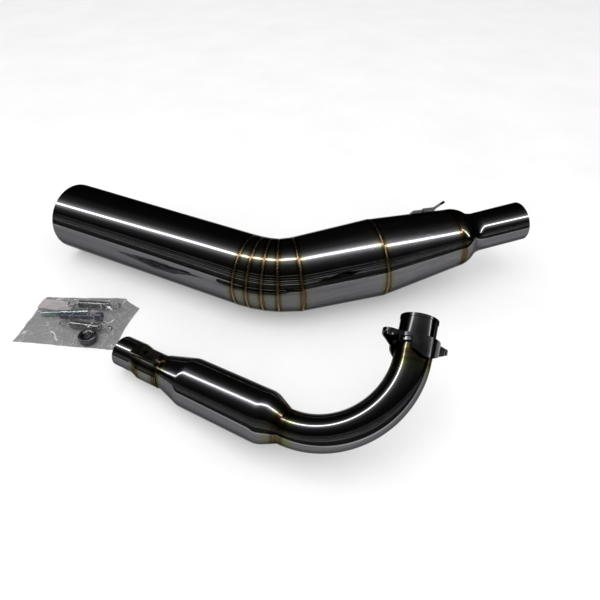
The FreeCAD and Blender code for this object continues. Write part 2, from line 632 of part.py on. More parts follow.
# ---------------------------------------------------------------- the kit
def build():
    pieces = muffler_shells()
    pieces.update(muffler_inside())
    hanger_parts, hanger_hole = hanger()
    pieces.update(hanger_parts)
    pieces["muffler_spring_hooks"] = muffler_hooks()
    header = header_pieces()
    flange, flange_frame = flange_pieces()
    header.update(flange)
    for name, shape in header.items():
        pieces[name] = place(shape, HEADER_FRAME)
    pieces.update(fittings())
    return pieces, hanger_hole, HEADER_FRAME.multiply(flange_frame)


PIECES, HANGER_HOLE, FLANGE_FRAME = build()
os.makedirs("parts", exist_ok=True)
for node, solid in PIECES.items():
    solid.exportStep("parts/%s.step" % node)
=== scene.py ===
"""Racing exhaust kit: visual model, floor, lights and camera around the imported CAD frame.

Metres, in the CAD frame.  The shells, brackets, flange and hooks are the CAD nodes with procedural
steel materials.  The welds, springs, stud, bolt, spacer collar, card and poly bag are built here.
"""
import json
import math

import bpy
import numpy as np
from mathutils import Matrix, Vector, noise


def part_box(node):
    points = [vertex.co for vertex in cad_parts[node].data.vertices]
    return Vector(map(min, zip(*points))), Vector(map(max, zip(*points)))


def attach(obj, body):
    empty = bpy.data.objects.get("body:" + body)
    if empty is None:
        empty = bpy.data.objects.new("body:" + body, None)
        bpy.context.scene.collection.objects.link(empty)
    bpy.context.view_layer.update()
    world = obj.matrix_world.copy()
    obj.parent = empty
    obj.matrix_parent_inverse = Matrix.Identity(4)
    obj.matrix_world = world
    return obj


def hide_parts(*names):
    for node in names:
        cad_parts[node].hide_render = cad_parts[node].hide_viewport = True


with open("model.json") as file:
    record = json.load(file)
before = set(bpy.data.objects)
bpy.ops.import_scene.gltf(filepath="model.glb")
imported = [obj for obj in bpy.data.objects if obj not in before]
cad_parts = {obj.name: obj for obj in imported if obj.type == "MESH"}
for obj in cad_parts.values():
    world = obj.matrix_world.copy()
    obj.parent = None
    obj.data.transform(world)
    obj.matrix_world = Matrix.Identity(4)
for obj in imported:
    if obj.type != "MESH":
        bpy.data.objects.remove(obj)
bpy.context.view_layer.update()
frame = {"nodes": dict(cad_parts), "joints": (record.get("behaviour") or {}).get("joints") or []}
NODES = frame["nodes"]
MM = 0.001
NOISE_SEED = 4
noise.seed_set(NOISE_SEED)               # noise_vector starts from the clock unless it is seeded

# ------------------------------------------------------------ layout repeated from the CAD source
BAG_CENTRE = Vector((-0.2123, -0.0048, 0.0))
BAG_FLOOR = 0.0012                       # top of the lower film, where the fittings lie
HEADER_END = Vector((-0.1458, -0.0584, 0.0173))
HEADER_TURN = (math.radians(-29.05), math.radians(-3.8), math.radians(26.9))
BEND_START = 0.1765                      # along the header, from its outlet mouth
FLARE_END = 0.030                        # the same, to where the flare meets the neck
BEND_RADIUS = 0.0752
TAIL_END = Vector((-0.2465, 0.1344, 0.0381))    # centre of the tail's mouth
# Fittings: millimetres from the bag's centre, and degrees.
SPRING_PLACES = {"spring_far": (11.5, 20.5, -4.5), "spring_near": (12.5, -10.5, -9.5)}
STUD_PLACE = (-16.0, 9.6, 3.0)
BOLT_PLACE = (1.0, 2.2, -2.0)
COLLAR_PLACE = (19.5, -25.4, 0.0)
CARD_PLACE = (-31.0, 22.5, -10.0)

# ------------------------------------------------------------ camera
CAMERA_PLACE = (0.0207, -0.3358, 0.3584)
CAMERA_PITCH = 44.55                     # below the horizon, in degrees
camera_data = bpy.data.cameras.new("camera")
camera_data.lens = 27.75
camera_data.sensor_width = 36.0
camera_data.clip_start = 0.01
camera = bpy.data.objects.new("camera", camera_data)
camera.location = CAMERA_PLACE
camera.rotation_euler = (math.radians(90.0 - CAMERA_PITCH), 0.0, 0.0)
bpy.context.scene.collection.objects.link(camera)
bpy.context.scene.camera = camera
bpy.context.scene.view_settings.view_transform = "Standard"


# ------------------------------------------------------------ node-tree helper
class Shade:
    """Short way to write a material's node tree."""

    def __init__(self, name):
        self.material = bpy.data.materials.new(name)
        self.material.use_nodes = True
        self.tree = self.material.node_tree
        self.tree.nodes.clear()
        self.place = self.add("ShaderNodeTexCoord").outputs["Object"]

    def set(self, socket, value):
        if isinstance(value, bpy.types.NodeSocket):
            self.tree.links.new(value, socket)
        else:
            socket.default_value = value

    def add(self, kind, inputs=None, **settings):
        node = self.tree.nodes.new(kind)
        for key, value in settings.items():
            setattr(node, key, value)
        for key, value in (inputs or {}).items():
            self.set(node.inputs[key], value)
        return node

    def math(self, operation, a, b=0.0, clamp=False):
        return self.add("ShaderNodeMath", {0: a, 1: b}, operation=operation, use_clamp=clamp).outputs[0]

    def dot(self, vector, direction):
        node = self.add("ShaderNodeVectorMath", {0: vector, 1: tuple(direction)}, operation="DOT_PRODUCT")
        return node.outputs["Value"]

    def offset(self, vector, origin):
        node = self.add("ShaderNodeVectorMath", {0: vector, 1: tuple(origin)}, operation="SUBTRACT")
        return node.outputs[0]

    def scaled(self, vector, factor):
        node = self.add("ShaderNodeVectorMath", {0: vector}, operation="SCALE")
        node.inputs["Scale"].default_value = factor
        return node.outputs[0]

    def join(self, x, y, z):
        return self.add("ShaderNodeCombineXYZ", {0: x, 1: y, 2: z}).outputs[0]

    def noise(self, vector, scale=1.0, detail=3.0, roughness=0.55):
        inputs = {"Vector": vector, "Scale": scale, "Detail": detail, "Roughness": roughness}
        return self.add("ShaderNodeTexNoise", inputs).outputs["Fac"]

    def span(self, value, low, high, to_low=0.0, to_high=1.0):
        inputs = {0: value, 1: low, 2: high, 3: to_low, 4: to_high}
        return self.add("ShaderNodeMapRange", inputs).outputs[0]

    def mix(self, factor, a, b):
        node = self.add("ShaderNodeMix", data_type="RGBA")
        for socket, value in zip((node.inputs[0], node.inputs[6], node.inputs[7]), (factor, a, b)):
            self.set(socket, value if isinstance(value, (float, bpy.types.NodeSocket)) else (*value, 1.0))
        return node.outputs[2]

    def ramp(self, factor, stops):
        node = self.add("ShaderNodeValToRGB", {0: factor})
        band = node.color_ramp
        while len(band.elements) < len(stops):
            band.elements.new(1.0)
        for element, (position, colour) in zip(band.elements, stops):
            element.position = position
            element.color = (*colour, 1.0)
        return node.outputs["Color"]

    def bump(self, height, distance, strength=1.0):
        inputs = {"Height": height, "Distance": distance, "Strength": strength}
        return self.add("ShaderNodeBump", inputs).outputs[0]

    def finish(self, **inputs):
        names = {"base": "Base Color", "rough": "Roughness", "metal": "Metallic", "normal": "Normal",
                 "alpha": "Alpha", "tint": "Specular Tint",
                 "glow": "Emission Color", "glow_power": "Emission Strength"}
        shader = self.add("ShaderNodeBsdfPrincipled", {names[k]: v for k, v in inputs.items()})
        output = self.add("ShaderNodeOutputMaterial")
        self.tree.links.new(shader.outputs[0], output.inputs["Surface"])
        return self.material


# ------------------------------------------------------------ welds, read from the CAD beads
EDGE_BAND = 3 * MM                       # vertices this near to the farthest one are fitted


def mesh_points(mesh):
    """Vertex coordinates of a mesh, one row each."""
    points = np.empty(len(mesh.vertices) * 3)
    mesh.vertices.foreach_get("co", points)
    return points.reshape(-1, 3)


def islands(mesh):
    """Vertex coordinates of each separate solid of a mesh, joined where vertices coincide."""
    points = mesh_points(mesh)
    group = np.unique(np.round(points, 6), axis=0, return_inverse=True)[1].reshape(-1)
    parent = list(range(group.max() + 1))

    def root(k):
        while parent[k] != k:
            parent[k] = parent[parent[k]]
            k = parent[k]
        return k

    for edge in mesh.edges:
        a, b = root(group[edge.vertices[0]]), root(group[edge.vertices[1]])
        parent[a] = b
    label = np.array([root(k) for k in group])
    return [points[label == k] for k in np.unique(label)]


def weld_circle(points):
    """Centre, normal and middle radius of a bead, fitted to the vertices that are far out."""
    middle = points.mean(0)
    u, v, normal = np.linalg.svd(points - middle)[2]
    x, y = (points - middle) @ u, (points - middle) @ v
    reach = np.hypot(x, y)
    edge = reach > reach.max() - EDGE_BAND
    system = np.c_[x[edge], y[edge], np.ones(edge.sum())]
    a, b, c = np.linalg.lstsq(system, x[edge] ** 2 + y[edge] ** 2, rcond=None)[0]
    centre = middle + u * a / 2 + v * b / 2
    return Vector(centre), Vector(normal), math.sqrt(c + a * a / 4 + b * b / 4)


def read_welds(node):
    """Circles of a node's beads, from -X to +X."""
    return sorted((weld_circle(points) for points in islands(NODES[node].data)), key=lambda weld: weld[0].x)


MUFFLER_WELDS = read_welds("muffler_weld_beads")
HEADER_WELDS = read_welds("header_weld_beads")


# ------------------------------------------------------------ metals
# Temper colours from the weld (0) to the edge of its heat tint (1): straw and brown, and olive.
TINTS = [(0.0, (0.04, 0.022, 0.012)), (0.14, (0.12, 0.055, 0.022)), (0.26, (0.035, 0.028, 0.015)),
         (0.45, (0.12, 0.125, 0.05)), (1.0, (0.145, 0.15, 0.10))]
OLIVE = [(0.0, (0.03, 0.024, 0.012)), (0.14, (0.08, 0.065, 0.022)), (0.26, (0.035, 0.03, 0.013)),
         (0.45, (0.115, 0.125, 0.035)), (1.0, (0.14, 0.15, 0.08))]
# Tube steel, far darker than bare polished stainless: partly painted shade, so the tubes look as dim as in a
# dark room. The two tones are its random variation.
STEEL = (0.165, 0.165, 0.17)
STEEL_DARK = (0.125, 0.125, 0.13)
# A darker copy of the tube steel for the port stub and lip: painted shade, so they look black where the tube
# steel looks grey.
STUB_SHADED_STEEL = (0.05, 0.05, 0.052)
STUB_SHADED_DARK = (0.034, 0.034, 0.036)
SPECULAR_TINT = (0.35, 0.35, 0.36, 1.0)  # dulls the white edge that polished metal has at grazing angles
TINT_REACH = 0.0105                      # how far a heat tint spreads from a weld
NECK_REACH = 0.012                       # the same on the flare and neck,
SHELL_REACH = 0.014                      # on the resonator and outlet,
BEND_REACH = 0.02                        # and on the bend
BEAD_HALF = 0.0016                       # a tint starts at this distance from the weld's middle
TINT_WOBBLE = 0.0035                     # how far its edge wanders


def straight_grain(shade, axis, across=420.0, along=1.4):
    """Coordinates whose noise makes fine scratches along an axis."""
    axis = Vector(axis).normalized()
    side = axis.orthogonal().normalized()
    third = axis.cross(side)
    parts = [shade.dot(shade.place, d * f) for d, f in ((side, across), (third, across), (axis, along))]
    return shade.join(*parts)


def bend_grain(shade, frame_matrix, across=420.0, along=0.8):
    """The same along a bend, whose frame has the bend's axis as Z and its centre as origin."""
    local = shade.offset(shade.place, frame_matrix.translation)
    x, y, z = (shade.dot(local, frame_matrix.col[k].to_3d()) for k in range(3))
    radius = shade.math("SQRT", shade.math("ADD", shade.math("MULTIPLY", x, x),
                                           shade.math("MULTIPLY", y, y)))
    turn = shade.math("ARCTAN2", y, x)
    return shade.join(shade.math("MULTIPLY", radius, across), shade.math("MULTIPLY", z, across),
                      shade.math("MULTIPLY", turn, along))


def heat(shade, base, welds, reach=TINT_REACH, strength=0.85, tints=TINTS):
    """Colour of steel with temper colours beside its welds."""
    if not welds:
        return base
    wobble = shade.math("MULTIPLY", shade.noise(shade.place, 140.0, 3.0), TINT_WOBBLE)
    nearest = None
    for centre, normal, _ in welds:
        gap = shade.math("ABSOLUTE", shade.dot(shade.offset(shade.place, centre), normal))
        nearest = gap if nearest is None else shade.math("MINIMUM", nearest, gap)
    share = shade.span(shade.math("ADD", nearest, wobble), BEAD_HALF, reach)
    colour = shade.ramp(share, tints)
    amount = shade.span(share, 0.35, 1.0, strength, 0.0)
    return shade.mix(amount, base, colour)


def polished_steel(name, grain, welds=(), base=STEEL, dark=STEEL_DARK, rough=0.03, **heating):
    """Polished tube with fine lengthwise scratches; grain(shade) gives its coordinates."""
    shade = Shade(name)
    along = grain(shade)
    fine = shade.noise(along, 1.0, 4.0, 0.62)
    broad = shade.noise(shade.scaled(along, 0.17), 1.0, 2.0, 0.5)
    smear = shade.noise(shade.place, 30.0, 4.0, 0.6)
    colour = shade.mix(shade.span(fine, 0.35, 0.65), dark, base)
    colour = heat(shade, colour, welds, **heating)
    scratch = shade.noise(shade.scaled(along, 2.1), 1.0, 2.0, 0.5)
    worn = shade.math("ADD", shade.span(broad, 0.35, 0.7, 0.0, 0.04),
                      shade.span(scratch, 0.6, 0.72, 0.0, 0.10))
    patchy = shade.math("ADD", worn, shade.span(smear, 0.45, 0.75, 0.0, 0.03))
    roughness = shade.math("ADD", patchy, rough)
    normal = shade.bump(fine, 0.00002, 0.12)
    return shade.finish(base=colour, rough=roughness, metal=1.0, normal=normal, tint=SPECULAR_TINT)


def cast_metal(name, base, dark, rough, scale=900.0, depth=0.00004, metal=1.0):
    """Metal with an even fine texture: plated, blackened, stamped or cast."""
    shade = Shade(name)
    grit = shade.noise(shade.place, scale, 5.0, 0.65)
    cloud = shade.noise(shade.place, 55.0, 3.0, 0.6)
    colour = shade.mix(shade.span(cloud, 0.35, 0.65), dark, base)
    roughness = shade.math("ADD", shade.span(grit, 0.3, 0.7, -0.03, 0.05), rough)
    return shade.finish(base=colour, rough=roughness, metal=metal, normal=shade.bump(grit, depth, 0.6))


def near(node, welds, margin=0.004):
    """Welds that a node's mesh reaches."""
    points = mesh_points(NODES[node].data)
    found = []
    for weld in welds:
        away = points - np.array(weld[0])
        lift = np.abs(away @ np.array(weld[1]))
        if (lift < TINT_REACH).any() and np.linalg.norm(away, axis=1).min() < weld[2] + margin:
            found.append(weld)
    return found


def paint(node, material):
    """Gives a CAD node one material, in every slot that it has."""
    slots = NODES[node].data.materials
    if not slots:
        slots.append(material)
    for k in range(len(slots)):
        slots[k] = material


header_rotation = (Matrix.Rotation(HEADER_TURN[0], 4, "Z") @ Matrix.Rotation(HEADER_TURN[1], 4, "Y")
                   @ Matrix.Rotation(HEADER_TURN[2], 4, "X"))
HEADER_FRAME = Matrix.Translation(HEADER_END) @ header_rotation
HEADER_AXIS = HEADER_FRAME.col[0].to_3d()
BEND_FRAME = HEADER_FRAME @ Matrix.Translation((BEND_START, BEND_RADIUS, 0.0))
STUB_AXIS = Vector(next(j for j in frame["joints"] if j["name"] == "flange_slide")["axis"])
FLARE_SEAM = (HEADER_FRAME @ Vector((FLARE_END, 0, 0)), HEADER_AXIS, 0.0)

# Each muffler shell runs from one weld's centre to the next.
centres = [weld[0] for weld in MUFFLER_WELDS]
INLET_AXIS = (centres[6] - centres[5]).normalized()
MUFFLER_RUNS = {"tail_tube": centres[0] - TAIL_END, "body_cone": centres[5] - centres[4],
                "inlet_cone": INLET_AXIS, "inlet_reducer": INLET_AXIS, "inlet_tube": INLET_AXIS}
for k in range(4):
    MUFFLER_RUNS["elbow_segment_%d" % (k + 1)] = centres[k + 1] - centres[k]

for node, run in MUFFLER_RUNS.items():
    welds = near(node, MUFFLER_WELDS)
    paint(node, polished_steel("steel_" + node, lambda s, run=run: straight_grain(s, run), welds,
                               rough=0.07 if "cone" in node else 0.015))
for node in ("outlet_tube", "outlet_flare", "neck_tube", "resonator"):
    at_neck = node in ("outlet_flare", "neck_tube")
    welds = [HEADER_WELDS[0], FLARE_SEAM] if at_neck else near(node, HEADER_WELDS)
    paint(node, polished_steel("steel_" + node, lambda s: straight_grain(s, HEADER_AXIS), welds,
                               reach=NECK_REACH if at_neck else SHELL_REACH,
                               rough=0.08 if node == "resonator" else 0.035,
                               tints=TINTS if node == "resonator" else OLIVE))
paint("bend_tube", polished_steel("steel_bend_tube", lambda s: bend_grain(s, BEND_FRAME),
                                  near("bend_tube", HEADER_WELDS), reach=BEND_REACH, tints=OLIVE))
# The stub and lip wear the darker painted-shade copy of the tube steel.
for node in ("port_stub", "port_lip"):
    paint(node, polished_steel("steel_" + node, lambda s: straight_grain(s, STUB_AXIS),
                               near(node, HEADER_WELDS), base=STUB_SHADED_STEEL, dark=STUB_SHADED_DARK, rough=0.03,
                               tints=OLIVE))

core_steel = cast_metal("core_steel", (0.30, 0.29, 0.28), (0.16, 0.15, 0.14), 0.38)
# Bracket, flange and pad steels are set darker than their real tone: painted shade, so they look as dark as
# the tubes.
bracket_steel = cast_metal("bracket_steel", (0.085, 0.083, 0.08), (0.045, 0.043, 0.04), 0.13, 500.0)
flange_steel = cast_metal("flange_steel", (0.075, 0.075, 0.075), (0.03, 0.03, 0.033), 0.14, 380.0, 0.00006)
# The saddle takes a brighter, more contrasty copy of the bracket steel: painted glints on a dark bracket.
saddle_glint_steel = cast_metal("saddle_glint_steel", (0.30, 0.29, 0.25), (0.05, 0.048, 0.04), 0.10, 420.0, 0.00012)
pad_steel = cast_metal("pad_steel", (0.04, 0.038, 0.036), (0.02, 0.02, 0.02), 0.2, 500.0)
ring_steel = cast_metal("ring_steel", (0.14, 0.14, 0.14), (0.08, 0.08, 0.08), 0.13, 700.0)
graphite = cast_metal("graphite", (0.045, 0.045, 0.05), (0.02, 0.02, 0.022), 0.55, 700.0, 0.0001, 0.2)
for node in ("perforated_core", "core_ring_rear", "core_ring_front"):
    paint(node, core_steel)
paint("muffler_spring_hooks", bracket_steel)
paint("spring_saddle", saddle_glint_steel)
for node in ("hanger_pad", "hanger_strap"):
    paint(node, pad_steel)
paint("flange_plate", flange_steel)
paint("flange_ring", ring_steel)
paint("slip_gasket", graphite)


def glass_wool():
    """Pale tufted wool with short fibres along the core."""
    shade = Shade("glass_wool")
    fibre = shade.noise(straight_grain(shade, INLET_AXIS, 900.0, 120.0), 1.0, 6.0, 0.7)
    tuft = shade.noise(shade.place, 160.0, 4.0, 0.6)
    colour = shade.mix(shade.span(tuft, 0.3, 0.7), (0.62, 0.58, 0.47), (0.78, 0.75, 0.66))
    return shade.finish(base=colour, rough=shade.span(fibre, 0.3, 0.7, 0.8, 0.98), metal=0.0,
                        normal=shade.bump(fibre, 0.0004, 0.8))


paint("packing_wool", glass_wool())


# ------------------------------------------------------------ mesh helpers
def piece(name, vertices, faces, material, body, replaced, smooth=True):
    """New piece from vertices and faces in the CAD frame, which stands for the replaced nodes."""
    mesh = bpy.data.meshes.new(name)
    mesh.from_pydata([tuple(v) for v in vertices], [], faces)
    mesh.validate()
    mesh.update()
    for polygon in mesh.polygons:
        polygon.use_smooth = smooth
    mesh.materials.append(material)
    built = bpy.data.objects.new(name, mesh)
    bpy.context.scene.collection.objects.link(built)
    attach(built, body)
    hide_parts(*replaced)
    return built


def grid_faces(rows, columns, wrap_rows=False, wrap_columns=False, start=0):
    """Quads between rows x columns vertices, wound so that row then column is outward."""
    faces = []
    for i in range(rows if wrap_rows else rows - 1):
        for j in range(columns if wrap_columns else columns - 1):
            a, b = i * columns + j, i * columns + (j + 1) % columns
            c, d = ((i + 1) % rows) * columns + (j + 1) % columns, ((i + 1) % rows) * columns + j
            faces.append([start + k for k in (a, b, c, d)])
    return faces


def rim_loop(rows, columns):
    """Indices of a grid's outer vertices, in order round it."""
    rim = list(range(columns))
    rim += [i * columns + columns - 1 for i in range(1, rows)]
    rim += [(rows - 1) * columns + j for j in range(columns - 2, -1, -1)]
    rim += [i * columns for i in range(rows - 2, 0, -1)]
    return rim


def close_ends(faces, rings, sides, start=0):
    """Caps the first and last ring of a tube's faces."""
    last = start + (rings - 1) * sides
    return faces + [[start + j for j in range(sides)][::-1], [last + j for j in range(sides)]]


def wire(points, radius, sides=10):
    """Round wire along points, with closed ends."""
    points = [Vector(p) for p in points]
    vertices = []
    tangent = (points[1] - points[0]).normalized()
    side = tangent.orthogonal().normalized()
    for k, point in enumerate(points):
        ahead = points[min(k + 1, len(points) - 1)] - points[max(k - 1, 0)]
        new = ahead.normalized()
        side = tangent.rotation_difference(new) @ side
        side = (side - new * side.dot(new)).normalized()
        tangent = new
        third = new.cross(side)
        for j in range(sides):
            angle = 2 * math.pi * j / sides
            vertices.append(point + (side * math.cos(angle) + third * math.sin(angle)) * radius)
    return vertices, close_ends(grid_faces(len(points), sides, wrap_columns=True), len(points), sides)


def lathe(profile, sides, radius_at=None, start=0):
    """Closed solid of revolution about +X from (x, radius) points; radius_at(x, r, angle) reshapes it."""
    vertices = []
    for x, radius in profile:
        for j in range(sides):
            angle = 2 * math.pi * j / sides
            r = radius_at(x, radius, angle) if radius_at else radius
            vertices.append(Vector((x, r * math.cos(angle), r * math.sin(angle))))
    return vertices, grid_faces(len(profile), sides, wrap_rows=True, wrap_columns=True, start=start)


def in_bag(x, y, turn):
    """Matrix of a fitting that lies on the lower film."""
    place = Matrix.Translation(BAG_CENTRE + Vector((x, y, 0)) * MM + Vector((0, 0, BAG_FLOOR)))
    return place @ Matrix.Rotation(math.radians(turn), 4, "Z")


# ------------------------------------------------------------ weld beads
BEAD_WIDTH = 1.9 * MM
BEAD_HEIGHT = 0.17 * MM                  # from the bead's middle radius up to its crown
BEAD_SINK = 0.62 * MM                    # from the CAD bead's middle radius in to that of this one
RIPPLE = 1.0 * MM                        # length of one ripple along the bead
RIPPLE_STEPS = 4                         # rings of vertices in a ripple
RIPPLE_SWELL = 0.05                      # how much thicker a ripple's crest is, as a share
RIPPLE_LEAN = 0.44                       # a ripple slants: its edges are this share ahead and behind
BEAD_SIDES = 8


def weld_material():
    """Scaly straw-coloured metal with brown patches."""
    shade = Shade("weld_bead")
    scale = shade.noise(shade.place, 420.0, 4.0, 0.6)
    patch = shade.noise(shade.place, 70.0, 3.0, 0.6)
    browns = [(0.0, (0.08, 0.055, 0.032)), (0.4, (0.14, 0.10, 0.062)),
              (0.7, (0.19, 0.145, 0.10)), (1.0, (0.09, 0.075, 0.038))]
    colour = shade.ramp(shade.span(patch, 0.3, 0.7), browns)
    return shade.finish(base=colour, rough=shade.span(scale, 0.3, 0.7, 0.22, 0.3),
                        metal=1.0, normal=shade.bump(scale, 0.00002, 0.4))


def bead_mesh(weld, start=0):
    """Rippled weld ring around a joint, kept above the floor."""
    centre, normal, radius = weld
    side = normal.orthogonal().normalized()
    third = normal.cross(side)
    rings = int(2 * math.pi * radius / RIPPLE) * RIPPLE_STEPS
    vertices = []
    for i in range(rings):
        angle = 2 * math.pi * i / rings
        phase = (i % RIPPLE_STEPS) / RIPPLE_STEPS
        swell = 1.0 + RIPPLE_SWELL * math.cos(2 * math.pi * phase)
        for j in range(BEAD_SIDES):
            turn = 2 * math.pi * j / BEAD_SIDES
            lean = angle + RIPPLE_LEAN * RIPPLE * math.cos(turn) / radius
            spoke = side * math.cos(lean) + third * math.sin(lean)
            reach = radius - BEAD_SINK + BEAD_HEIGHT * swell * math.sin(turn)
            point = centre + spoke * reach + normal * (BEAD_WIDTH / 2 * swell * math.cos(turn))
            point.z = max(point.z, 0.0)
            vertices.append(point)
    return vertices, grid_faces(rings, BEAD_SIDES, True, True, start)


def weld_piece(name, welds, body, node):
    """All beads of one body as one piece, which replaces their CAD node."""
    vertices, faces = [], []
    for weld in welds:
        more, sides = bead_mesh(weld, start=len(vertices))
        vertices += more
        faces += sides
    return piece(name, vertices, faces, WELD, body, [node])


WELD = weld_material()
weld_piece("muffler_welds", MUFFLER_WELDS, "muffler", "muffler_weld_beads")
weld_piece("header_welds", HEADER_WELDS, "header", "header_weld_beads")


# ------------------------------------------------------------ springs
SPRING_BODY = 34.0 * MM                  # length, without the shanks and eyes
COIL_RADIUS = 3.45 * MM                  # to the middle of the wire
SPRING_WIRE = 0.75 * MM                  # radius
SHANK = 4.0 * MM                         # straight wire between the body and an eye
EYE = 3.6 * MM                           # radius, to the middle of the wire
EYE_TURN = math.radians(280)
EYE_STEPS = 20
COIL_STEPS = 18                          # points in one turn
LEAD_TURN = math.radians(144)            # turn of the wire on its way in to the axis
LEAD_STEPS = 8
COIL_MARGIN = 1.5 * SPRING_WIRE          # from the body's end to where the full turns start


def spring_path():
    """Centre line of the wire: eye, shank, close-wound coil, shank, eye."""
    half = SPRING_BODY / 2
    eye = [Vector((half + SHANK + EYE - EYE * math.cos(a), EYE * math.sin(a), 0))
           for a in (EYE_TURN * k / EYE_STEPS for k in range(EYE_STEPS + 1))]
    turns = SPRING_BODY / (2 * SPRING_WIRE) - 1.5
    steps = int(turns * COIL_STEPS)
    coil = []
    for k in range(steps + 1):
        angle = 2 * math.pi * turns * k / steps
        x = -half + COIL_MARGIN + (SPRING_BODY - 2 * COIL_MARGIN) * k / steps
        coil.append(Vector((x, COIL_RADIUS * math.cos(angle), COIL_RADIUS * math.sin(angle))))

    def lead(sign, angle):
        """Part of a turn that brings the wire from the coil in to the axis."""
        found = []
        for k in range(1, LEAD_STEPS):
            share = k / LEAD_STEPS
            spin = angle + sign * LEAD_TURN * share
            x = sign * (half - COIL_MARGIN + share * COIL_MARGIN)
            radius = COIL_RADIUS * math.cos(share * math.pi / 2)
            found.append(Vector((x, radius * math.cos(spin), radius * math.sin(spin))))
        return found

    right = lead(1, 2 * math.pi * turns) + eye
    left = [Vector((-p.x, -p.y, p.z)) for p in eye]
    return left[::-1] + lead(-1, 0.0)[::-1] + coil + right


SPRING_STEEL = cast_metal("spring_steel", (0.30, 0.30, 0.305), (0.2, 0.2, 0.205), 0.16, 700.0)
for name, spot in SPRING_PLACES.items():
    points, faces = wire(spring_path(), SPRING_WIRE)
    place = in_bag(*spot) @ Matrix.Translation((0, 0, COIL_RADIUS + SPRING_WIRE))
    piece(name + "_coil", [place @ p for p in points], faces, SPRING_STEEL, "fittings_bag", [name])


# ------------------------------------------------------------ stud, bolt and collar
THREAD_RADIUS = 3.0 * MM
THREAD_PITCH = 1.0 * MM
THREAD_DEPTH = 0.32 * MM
THREAD_STEPS = 6                         # rings of vertices in one pitch
CHAMFER = 0.9 * MM
ROD_SIDES = 28


def capped(vertices, faces, rings, sides, start=0):
    """A lathed solid whose last ring isn't joined to its first, but capped."""
    return vertices, close_ends(faces[:(rings - 1) * sides], rings, sides, start)


def threaded(stations, radius):
    """Rod from stations (start, end, threaded) along +X, with closed chamfered ends."""
    profile, flags = [], []
    for start, end, cut in stations:
        count = int((end - start) / THREAD_PITCH * THREAD_STEPS) if cut else 3
        for k in range(count):
            profile.append((start + (end - start) * k / (count - 1), radius))
            flags.append(cut)
    first, last = profile[0][0], profile[-1][0]
    cutting = dict(zip([round(x, 8) for x, _ in profile], flags))

    def shape(x, r, angle):
        limit = min(x - first, last - x) + radius - CHAMFER
        if cutting[round(x, 8)]:
            wave = (x / THREAD_PITCH - angle / (2 * math.pi)) % 1.0
            r -= THREAD_DEPTH * abs(2 * wave - 1)
        return min(r, max(limit, 0.4 * r))

    return capped(*lathe(profile, ROD_SIDES, shape), len(profile), ROD_SIDES)


ZINC = cast_metal("zinc_plate", (0.42, 0.50, 0.50), (0.22, 0.30, 0.31), 0.2, 800.0)
BLACK = cast_metal("black_oxide", (0.085, 0.07, 0.13), (0.04, 0.035, 0.075), 0.26, 800.0)
COLLAR_STEEL = cast_metal("collar_steel", (0.16, 0.16, 0.165), (0.07, 0.07, 0.075), 0.24, 600.0)

points, faces = threaded([(-25 * MM, -3 * MM, True), (-2.9 * MM, 2.9 * MM, False), (3 * MM, 25 * MM, True)],
                         THREAD_RADIUS)
place = in_bag(*STUD_PLACE) @ Matrix.Translation((0, 0, THREAD_RADIUS))
piece("spare_stud_thread", [place @ p for p in points], faces, ZINC, "fittings_bag", ["spare_stud"],
      smooth=False)


HEAD_SIDES = 36
HEAD_RADIUS = 5.0                        # millimetres, as the head's other sizes
HEAD_START = 38.0
HEAD_END = 44.0
SOCKET_FLOOR = 41.0
SOCKET_RADIUS = 3.2
SOCKET_FLAT = 2.5 * MM                   # from the axis to a flat
HEAD_PROFILE = [(HEAD_START, 2.6), (HEAD_START, 4.7), (HEAD_START + 0.3, HEAD_RADIUS),
                (HEAD_END - 0.4, HEAD_RADIUS), (HEAD_END, HEAD_RADIUS - 0.4), (HEAD_END, 3.3),
                (SOCKET_FLOOR, SOCKET_RADIUS), (SOCKET_FLOOR, 0.4)]


def bolt_mesh():
    """Socket-head bolt along +X from its tip at 0."""
    vertices, faces = threaded([(0.0, 24 * MM, True), (24.1 * MM, 38.2 * MM, False)], THREAD_RADIUS)
    start = len(vertices)

    def socket(x, r, angle):
        """Makes the ring at the socket's floor six-sided."""
        if abs(r - SOCKET_RADIUS * MM) > 0.05 * MM:
            return r
        sector = (angle + math.pi / 6) % (math.pi / 3) - math.pi / 6
        return SOCKET_FLAT / math.cos(sector)

    head = lathe([(x * MM, r * MM) for x, r in HEAD_PROFILE], HEAD_SIDES, socket, start)
    more, rings = capped(*head, len(HEAD_PROFILE), HEAD_SIDES, start)
    return vertices + more, faces + rings


points, faces = bolt_mesh()
place = in_bag(*BOLT_PLACE) @ Matrix.Translation((-19 * MM, 0, HEAD_RADIUS * MM))
piece("hanger_bolt_thread", [place @ p for p in points], faces, BLACK, "fittings_bag", ["hanger_bolt"],
      smooth=False)


def collar_mesh():
    """Round spacer collar along +X, with a turned groove and rounded edges."""
    outer, high, bore = 9.0, 7.5, 4.2
    profile = [(0.0, bore + 0.7), (0.0, outer - 0.9), (0.3, outer - 0.25), (1.0, outer)]
    profile += [(2.6, outer), (2.9, outer - 0.45), (4.6, outer - 0.45), (4.9, outer)]
    profile += [(high - 1.0, outer), (high - 0.3, outer - 0.25), (high, outer - 0.9)]
    profile += [(high, bore + 0.7), (high - 0.7, bore), (0.7, bore)]
    return lathe([(x * MM, r * MM) for x, r in profile], 64)


points, faces = collar_mesh()
place = in_bag(*COLLAR_PLACE) @ Matrix.Rotation(math.radians(-90), 4, "Y")
piece("collar_turned", [place @ p for p in points], faces, COLLAR_STEEL, "fittings_bag", ["spacer_collar"])


# ------------------------------------------------------------ card
CARD_SIZE = (37.5 * MM, 14.0 * MM, 1.5 * MM)
CARD_GRID = (37, 15)
CORNER_CUT = 0.9 * MM                    # how far a corner is cut back along the card
CUT_SPAN = 0.15                          # how far in from the long edge it starts, as a share
CARD_ROUND = 0.15 * MM                   # height of the rounded rim
CARD_SPRING = 0.105 * MM                 # how much the folded card stands open at its ends


